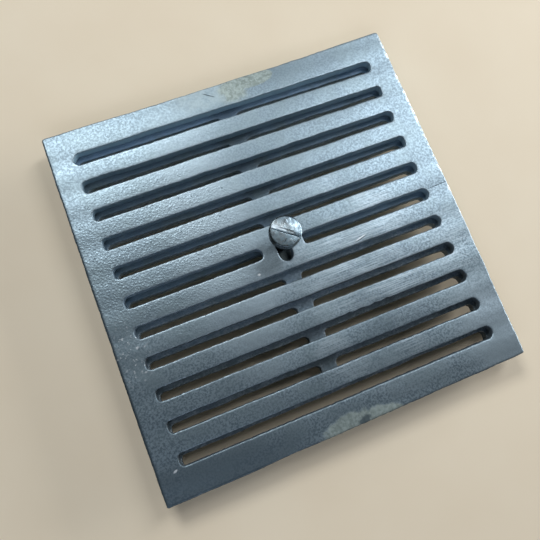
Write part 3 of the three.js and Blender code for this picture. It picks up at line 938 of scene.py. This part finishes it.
def ground_cast_iron():
    m = Finish("ground_cast_iron")
    ground, arris = m.attribute("ground"), m.attribute("arris")
    sand = m.grain(1.25, 3, 0.6, 0.3)
    tops = m.ramp(sand, 0.4, 0.6)
    # Belt lines run along the bars: noise drawn out forty times in x
    drawn = m.put("Mapping", {"Vector": m.place, "Scale": (0.025, 1, 1), "Rotation": (0, 0, 0.03)})
    lines = m.grain(0.55, 2, 0.6, place=drawn.outputs["Vector"])
    belt = m.times(m.ramp(m.grain(40, 2), 0.42, 0.6), m.patch((35, -35), (75, 62), 0, 0.35, 0.5, 30))
    # Painted shade: darker at the top left, the bottom left and right of the middle
    shade = m.most(
        m.times(m.along("Y", 97, 112, 0.0, 0.4), m.along("X", 30, 70, 1.0, 0.0)),
        m.ramp(m.patch((-98, -112), (62, 17), 0, 0.5, 0.5, 20), 0.0, 1.0, 0.0, 0.5),
        m.ramp(m.patch((48, -45), (28, 42), 0, 0.5, 0.5, 20), 0.0, 1.0, 0.0, 0.4),
    )
    light_parts = m.most(m.patch((-36, 14), (26, 80), 0, 0.5, 0.5, 20),
                         m.patch((108, -98), (26, 36), 0, 0.5, 0.5, 20))
    # The sand's grain stands out most left of the middle, where the belt pressed least
    coarse = m.times(m.patch((-75, 32), (62, 54), 0, 0.5, 0.6, 25), m.along("Y", 30, 85, 1.0, 0.5))
    sand_pits = m.times(m.ramp(m.grain(1.7, 1), 0.68, 0.74), m.ramp(coarse, 0.0, 1.0, 0.1, 1.0))
    worn = m.times(arris, m.ramp(m.grain(3.0, 3), 0.3, 0.5))
    # Painted highlight on the right rim's arris, rubbed bright in places down to below its middle; painted
    # shade on the left and bottom rims
    rubbed_rim_highlight = m.times(m.along("X", 112.9, 113.8), m.along("Y", -40, 30),
                     m.ramp(m.grain(4.0, 4), 0.47, 0.6, 0.0, 0.85))
    painted_shade_rims = m.most(m.along("X", -113.8, -112.8, 0.75, 0.0), m.along("Y", -114.4, -113.2, 0.75, 0.0))
    # Where the gates were ground off: pale and cloudy, then dull olive grey, with one dark pit
    pale = m.times(m.patch((-11, 108), (19, 8), 0, 0.3, 0.8),
                   m.ramp(m.grain(6, 4, 0.6), 0.35, 0.6, 0.35, 0.9))
    olive = m.most(
        m.patch((22, 109.9), (14.5, 5.4), 0, 0.06, 0.25),
        m.patch((8, 107), (9, 8.5), 0, 0.35, 0.9, 4),
        m.patch((-3, -113.5), (16.5, 7.4), 4, 0.16, 0.75, 4.5),
        m.patch((14, -114.3), (18, 6), -4, 0.16, 0.75, 4.5),
    )
    streaks = m.ramp(m.grain(2.5, 4, 0.6, 0.5), 0.35, 0.65)
    gate_pit = m.patch((6, -113), (4.2, 2.2), 18, 0.3, 1.0, 1.5)
    marks = m.most(*[m.patch(centre, half, turn, 0.4, ragged, 1.2) for centre, half, turn, ragged in MARKS])
    # Three bright nicks, and flecks where the left margin's grain was rubbed
    bright = m.most(
        m.patch((-20, -11.7), (0.9, 0.7), 0, 0.3, 0.5, 1.0),
        m.times(m.patch((47.3, -12.1), (3.8, 0.45), 14, 0.4, 0.8, 1.2), 0.6),
        m.patch((-103.7, -98.3), (1.3, 0.6), 20, 0.3, 0.5, 1.0),
        m.times(m.patch((-105, -30), (9, 19), 0, 0.4, 0.6, 8),
                m.ramp(m.grain(2.0, 2), 0.6, 0.68, 0.0, 0.6)),
    )
    # The lower rows get more contrast between tops and pits, partly sand grain and partly painted glints
    face = m.layers(
        m.tint(m.along("Y", -70, 40, 1.0, 0.0), m.tint(tops, "#7d8c95", "#91a2ac"),
               m.tint(tops, "#65747d", "#a3b4be")),
        (m.ramp(m.grain(16, 3, 0.55, 0.3), 0.35, 0.68, 0.0, 0.5), "#8a9aa0"),
        (shade, "#5b6972"),
        (m.times(light_parts, 0.4), "#b3c2cb"),
        (m.times(belt, m.ramp(lines, 0.42, 0.62, 0.0, 0.6)), "#b9c6ce"),
        (m.ramp(m.grain(2.2, 3, 0.6), 0.66, 0.74, 0.0, 0.35), "#56666f"),
        (m.times(sand_pits, 0.55), "#4a5861"),
        # Worn arrises, with painted shade on those of the lower rows
        (worn, m.tint(m.along("Y", -62, -30), "#727f87", "#95a2aa")),
        # Painted shade on the arrises at the slots' left ends
        (m.times(arris, m.along("X", -100, -97, 0.8, 0.0)), "#4f5c64"),
        (rubbed_rim_highlight, "#e9f0f2"),
        (painted_shade_rims, "#46535b"),
        (m.times(pale, 0.7), "#adbbbf"),
        (m.times(olive, 0.8), m.tint(streaks, "#848d86", "#a6b0aa")),
        (m.times(gate_pit, 0.8), "#4a565c"),
        (m.times(marks, 0.75), "#2f3b42"),
        (bright, "#f4f8fb"),
    )
    # The walls keep their casting skin, which is part oxide and so less metallic
    # Painted light and shade on the walls: darker from the knob up, lighter in the top rows and to the
    # right, darkest in the lower rows
    wall = m.layers(
        m.tint(tops, "#6c7f8d", "#8ea1b0"),
        (m.along("Y", -10, 60, 0.0, 0.8), "#5a7482"),
        (m.along("Y", 74, 96, 0.0, 0.8), "#93b2c2"),
        (m.along("X", 30, 105, 0.0, 0.7), "#8faaba"),
        (m.along("Y", -45, 0, 0.85, 0.0), "#40474b"),
    )
    bare = m.most(ground, m.times(worn, 0.9))
    roughness = m.plus(
        m.ramp(sand, 0.3, 0.7, 0.48, 0.38),
        m.times(m.most(olive, pale), 0.16),
        m.ramp(bare, 0.0, 1.0, 0.18, 0.0),
        m.times(worn, 0.05),
    )
    pebble = m.put("TexVoronoi", {"Vector": m.place, "Scale": 1 / (1.3 * MM)}).outputs["Distance"]
    height = m.plus(
        m.times(sand, m.ramp(coarse, 0.0, 1.0, 0.2, 0.9)),
        m.times(m.ramp(pebble, 0.1, 0.75, 1.0, 0.0), coarse, 0.95),
        m.times(sand_pits, -0.9),
        m.times(marks, -0.8),
        m.times(lines, belt, 0.6),
    )
    metallic = m.ramp(bare, 0.0, 1.0, 0.25, 1.0)
    return m.metal(m.tint(bare, wall, face), roughness, height, 0.06, metallic)


dress(front_piece, ground_cast_iron())

# %% [markdown]
# ## Cast iron as it left the sand
#
# The slider kept its casting skin: dark, dull and grainy. Only its upper edges, which the slots
# leave in view, are rubbed a little brighter.

# %% Cast iron as cast


def rough_cast_iron():
    m = Finish("rough_cast_iron")
    sand = m.grain(1.6, 3, 0.6)
    tops = m.ramp(sand, 0.35, 0.65)
    # Above the knob the face carries painted light and shade: lighter in the top rows and to the right,
    # darker on the upper web and round the knob. The walls are the pale grey of the sand
    upper_painted_share = m.along("Y", -20, -8)
    upper_painted_light_shade = m.layers(
        m.tint(m.along("Y", 74, 94), "#667d8f", "#88a4c0"),
        (m.along("X", 30, 100, 0.0, 0.6), "#8aa5bd"),
        (m.times(m.patch((0, 66), (14, 42), 0, 0.4, 0.3, 6), 0.7), "#465661"),
        (m.patch(knob_centre, (14, 14), 0, 0.4, 0.3, 6), "#2c353c"),
    )
    face = m.tint(upper_painted_share, m.tint(tops, "#667987", "#8496a6"), upper_painted_light_shade)
    walls = m.tint(tops, "#8193a1", "#a3b3c0")
    worn = m.times(m.attribute("arris"), m.ramp(m.grain(1.2, 3), 0.42, 0.6))
    colour = m.layers(
        m.tint(m.attribute("ground"), walls, face),
        (m.ramp(m.grain(22, 3, 0.6), 0.4, 0.7, 0.0, 0.5), "#64726f"),
        # Painted shade darkens the lower rows
        (m.along("Y", -60, -25, 0.6, 0.0), "#444e51"),
        (m.times(worn, m.ramp(upper_painted_share, 0.0, 1.0, 0.8, 0.3)), "#c3cfd4"),
    )
    roughness = m.ramp(sand, 0.3, 0.7, 0.66, 0.52)
    return m.metal(colour, roughness, sand, 0.22, m.ramp(worn, 0.0, 1.0, 0.3, 0.8))


dress(slider_piece, rough_cast_iron())

# %% [markdown]
# ## Bright steel
#
# The knob screw was turned bright. Years of fingers left a mottled tarnish and small pits. A painted
# highlight on the strip beside its slot makes that the brightest place on the whole object.

# %% Bright steel


def bright_steel():
    m = Finish("bright_steel")
    mottle = m.grain(2.4, 4, 0.6, 0.5)
    blotches = m.ramp(mottle, 0.36, 0.62)
    # Millimetres along and across the driver slot, from the head's middle
    slot_place = m.local(knob_centre, (1, 1), KNOB_HEAD["turn"])
    slot_axes = m.put("SeparateXYZ", {0: slot_place}).outputs
    along, across = slot_axes["X"], slot_axes["Y"]
    from_middle = m.put("VectorMath", {0: slot_place}, operation="LENGTH").outputs["Value"]
    # Painted highlight on the slot's floor, darker towards its right end
    slot_floor = m.times(m.ramp(across, -0.65, -0.5), m.ramp(across, 1.1, 1.4, 1.0, 0.0))
    # Painted shade on the head's upper left, away from the slot and its right end
    upper_left_painted_shade = m.times(m.ramp(across, 1.6, 6.5), m.ramp(along, 1.0, 6.0, 1.0, 0.1))
    rim_shade = m.times(m.ramp(from_middle, 7.9, 8.8), m.ramp(along, 2.5, 6.5, 1.0, 0.0))
    # A painted highlight lies on a strip beside the slot's left half; the half below the slot has mottled
    # tarnish and painted shade
    strip = m.times(m.ramp(across, -0.62, -0.5), m.ramp(across, 1.2, 1.9, 1.0, 0.0),
                    m.ramp(along, -3.0, 1.5, 1.0, 0.0))
    tarnish_and_painted_shade = m.times(m.ramp(across, -1.5, -1.0, 0.9, 0.0), m.ramp(along, 4.0, 8.5, 1.0, 0.45))
    # slot_place is in millimetres, so the nick's numbers are thousandths of one
    nick = m.patch((1500, -5200), (250, 1700), -16, 0.3, 0.5, 900, slot_place)
    colour = m.layers(
        # Painted highlight on the head's left half; its right half is darker
        m.tint(m.ramp(along, -3.0, 5.0), m.tint(blotches, "#c4d5dd", "#e8f3f7"),
               m.tint(blotches, "#75868f", "#a3b3bb")),
        (slot_floor, m.tint(m.ramp(along, 3.5, 6.0), "#dcebf1", "#6d7e88")),
        (m.times(upper_left_painted_shade, 0.8), "#71838e"),
        (strip, "#e8f6ff"),
        (tarnish_and_painted_shade, m.tint(m.ramp(mottle, 0.36, 0.66), "#93aab6", "#cddfe7")),
        (m.times(rim_shade, 0.9), "#333d43"),
        (m.ramp(m.grain(0.8, 2, 0.6), 0.64, 0.72, 0.0, 0.4), "#4a575e"),
        (m.times(nick, 0.7), "#3c474e"),
    )
    # Painted shade: below the head the shank is dark
    underside = knob_high[2] - KNOB_HEAD["thickness"]
    bright = m.along("Z", underside + 0.2, underside + 1.2)
    roughness = m.plus(m.ramp(mottle, 0.3, 0.7, 0.34, 0.24), m.ramp(bright, 0.0, 1.0, 0.25, 0.0),
                       m.times(strip, 0.12))
    return m.metal(m.tint(bright, "#1f262b", colour), roughness, mottle, 0.04)


dress(knob_piece, bright_steel())

# %% [markdown]
# ## Plain steel
#
# The clips are cold rolled strip and their screws plain steel, gone dull grey with a few darker
# clouds.

# %% Plain steel


def plain_steel():
    m = Finish("plain_steel")
    cloud = m.grain(5, 4, 0.6, 0.3)
    colour = m.tint(m.ramp(cloud, 0.35, 0.65), "#6c7678", "#98a3a6")
    return m.metal(colour, m.ramp(cloud, 0.3, 0.7, 0.5, 0.38), m.grain(0.6, 2, 0.6), 0.03)


steel = plain_steel()
for piece in clip_pieces:
    dress(piece, steel)

# %% [markdown]
# ## Floor, light and camera
#
# A wide soft light stands beyond the top of the plate. Bare metal mirrors it, so the plate is
# bright near the top and falls off towards the lower left corner, where it mirrors the dark room.

# %% Floor


def floor_material():
    m = Finish("pale_board")
    fill(m.shader, {"Base Color": m.tint(m.grain(60, 3), "#e1cfb4", "#e9dac1"), "Roughness": 0.75})
    return m.material


FLOOR_HALF = 1.6
floor_height = min(piece_box("clip_screw_" + corner)[0][2] for corner in CORNERS) * MM
floor_mesh = bpy.data.meshes.new("floor")
floor_corners = [(side_x * FLOOR_HALF, side_y * FLOOR_HALF, floor_height)
                 for side_x, side_y in ((-1, -1), (1, -1), (1, 1), (-1, 1))]
floor_mesh.from_pydata(floor_corners, [], [(0, 1, 2, 3)])
floor = bpy.data.objects.new("floor", floor_mesh)
bpy.context.scene.collection.objects.link(floor)
dress(floor, floor_material())

# %% Lights


def softbox(name, direction, distance, width, height, watts, colour):
    """A rectangular lamp at distance metres in a direction, turned to face the plate's middle."""
    lamp = bpy.data.lights.new(name, "AREA")
    lamp.shape = "RECTANGLE"
    lamp.size, lamp.size_y = width, height
    lamp.energy = watts
    lamp.color = linear(colour)[:3]
    holder = bpy.data.objects.new(name, lamp)
    bpy.context.scene.collection.objects.link(holder)
    away = Vector(direction).normalized()
    holder.location = away * distance
    holder.rotation_euler = away.to_track_quat("Z", "Y").to_euler()


softbox("window_light_top_left", (-0.15, 0.62, 0.77), 1.3, 0.5, 0.36, 7.4, "#f5fafd")
softbox("window_light_right", (0.55, 0.31, 0.77), 1.3, 0.3, 0.68, 5.7, "#f2f8fe")
softbox("low_fill_front", (-0.34, -0.64, 0.69), 1.5, 1.4, 0.5, 5.7, "#dfeafb")
softbox("low_fill_right", (0.95, 0.05, 0.2), 1.5, 1.2, 0.4, 23.0, "#f2f4f6")
world = bpy.data.worlds.new("dim_room")
world.use_nodes = True
fill(world.node_tree.nodes["Background"], {"Color": "#cfd8de", "Strength": 0.045})
bpy.context.scene.world = world
bpy.context.scene.view_settings.view_transform = "Standard"

# %% Camera
# Place, view direction and up, worked out from how the square plate looks in perspective
CAMERA_PLACE = Vector((-61.69, -61.84, 325.12)) * MM
CAMERA_FORWARD = Vector((0.14905, 0.15470, -0.97665)).normalized()
CAMERA_UP = Vector((0.34560, 0.91725, 0.19803)).normalized()
camera = bpy.data.objects.new("camera", bpy.data.cameras.new("camera"))
bpy.context.scene.collection.objects.link(camera)
camera.data.sensor_width = 36.0
camera.data.lens = 36.23
camera.data.clip_start = 0.01
right = CAMERA_FORWARD.cross(CAMERA_UP)
turned = Matrix((right, right.cross(CAMERA_FORWARD), -CAMERA_FORWARD)).transposed()
camera.matrix_world = Matrix.Translation(CAMERA_PLACE) @ turned.to_4x4()
bpy.context.scene.camera = camera
